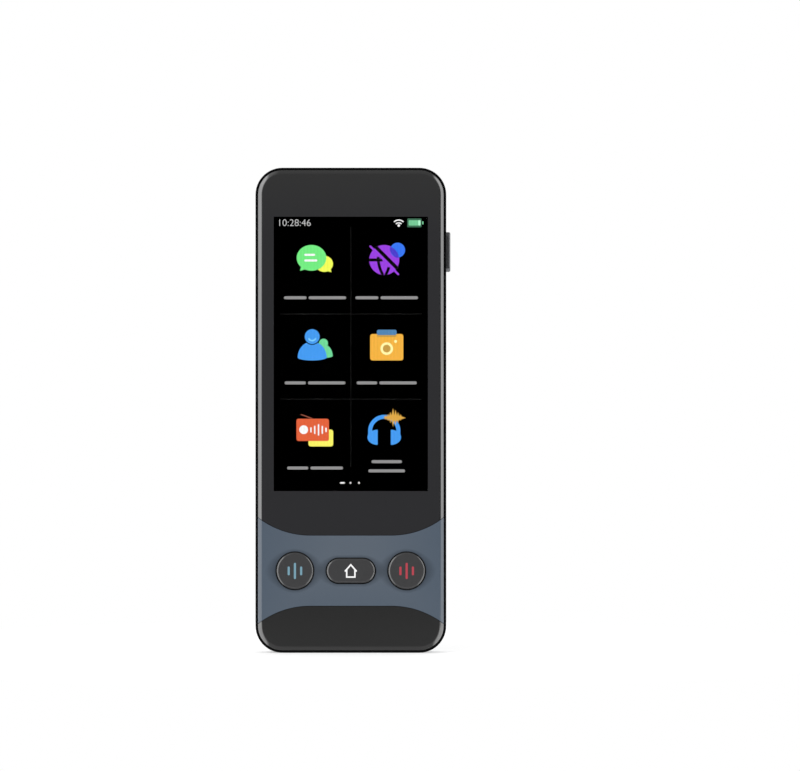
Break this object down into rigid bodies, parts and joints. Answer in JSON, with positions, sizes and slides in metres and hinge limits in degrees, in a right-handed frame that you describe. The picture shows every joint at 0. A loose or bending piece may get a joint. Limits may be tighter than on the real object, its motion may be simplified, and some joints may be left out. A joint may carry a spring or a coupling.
{
  "type": "handheld translator",
  "caption": "Handheld translator: slim upright bar with a glass-fronted screen, press keys below it, a side power key, and a camera and speaker grille on its back.",
  "frame": {"origin": "centre of the flat back face, at mid length and mid width", "axes": "+Z along the length towards the top end (camera), -Y out of the screen, +Y out of the back, +X to the right seen from the front"},
  "size_m": [0.0552, 0.0128, 0.1372],
  "materials": {
    "cover_black": "fine matt moulded black",
    "frame_silver": "satin anodised silver",
    "housing_black": "matt black",
    "lens_glass": "polished, edge ground round",
    "border_film": "dark printed film",
    "tape": "foam tape",
    "fascia_blue_grey": "satin blue-grey",
    "chin_black": "satin black",
    "display_glass": "lit picture under glass",
    "steel": "bare pressed steel",
    "screw_steel": "zinc plated",
    "flex_copper": "amber polyimide",
    "key_grey": "satin dark grey",
    "side_key_grey": "satin dark grey",
    "plunger_ivory": "moulded ivory",
    "switch_black": "moulded black",
    "board_green": "solder-masked laminate",
    "connector_ivory": "moulded ivory",
    "port_steel": "drawn stainless shell",
    "port_black": "moulded black",
    "battery_foil": "laminated pouch foil",
    "battery_tape_white": "white tape",
    "lead_red": "insulated leads",
    "speaker_black": "moulded black",
    "speaker_cone_grey": "thin film",
    "magnet_metal": "plated",
    "foam": "closed-cell foam",
    "mesh_black": "fine woven mesh",
    "bezel_metal": "dark anodised with a bright cut rim",
    "window_glass": "polished, dark tinted",
    "camera_black": "moulded black",
    "microphone_gold": "plated can"
  },
  "bodies": {
    "device": {"back_cover": "cover_black", "mid_frame": "frame_silver", "front_housing": "housing_black", "cover_lens": "lens_glass", "lens_border": "border_film", "lens_tape": "tape", "button_fascia": "fascia_blue_grey", "fascia_tape": "tape", "chin_panel": "chin_black", "chin_tape": "tape", "display_panel": "display_glass", "backlight": "steel", "display_flex": "flex_copper", "chassis_plate": "steel", "chassis_screws": "screw_steel", "frame_screws": "screw_steel", "key_board": "board_green", "key_switches": "switch_black", "key_board_screws": "screw_steel", "power_switch": "switch_black", "power_flex": "flex_copper", "main_board": "board_green", "processor_shield": "steel", "radio_shield": "steel", "board_screws": "screw_steel", "sub_board": "board_green", "sub_board_screws": "screw_steel", "board_flex": "flex_copper", "board_connector": "connector_ivory", "usb_c_shell": "port_steel", "usb_c_tongue": "port_black", "battery_cell": "battery_foil", "battery_tape": "battery_tape_white", "battery_leads": "lead_red", "speaker_frame": "speaker_black", "speaker_cone": "speaker_cone_grey", "speaker_magnet": "magnet_metal", "speaker_gasket": "foam", "speaker_mesh": "mesh_black", "camera_bezel": "bezel_metal", "camera_window": "window_glass", "camera_base": "camera_black", "camera_barrel": "camera_black", "camera_flex": "flex_copper", "microphones": "microphone_gold", "wifi_antenna": "flex_copper"},
    "left_talk_button": {"talk_key_left": "key_grey", "talk_left_plunger": "plunger_ivory"},
    "home_button": {"home_key": "key_grey", "home_plunger": "plunger_ivory"},
    "right_talk_button": {"talk_key_right": "key_grey", "talk_right_plunger": "plunger_ivory"},
    "power_button": {"power_key": "side_key_grey", "power_plunger": "plunger_ivory"}
  },
  "joints": [
    {"name": "left_talk_press", "type": "slide", "parent": "device", "child": "left_talk_button", "axis": [0, 1, 0], "range_m": [0, 0.0004], "stiffness_N_per_m": 3000},
    {"name": "home_press", "type": "slide", "parent": "device", "child": "home_button", "axis": [0, 1, 0], "range_m": [0, 0.0004], "stiffness_N_per_m": 3000},
    {"name": "right_talk_press", "type": "slide", "parent": "device", "child": "right_talk_button", "axis": [0, 1, 0], "range_m": [0, 0.0004], "stiffness_N_per_m": 3000},
    {"name": "power_press", "type": "slide", "parent": "device", "child": "power_button", "axis": [-1, 0, 0], "range_m": [0, 0.0004], "stiffness_N_per_m": 3000}
  ]
}
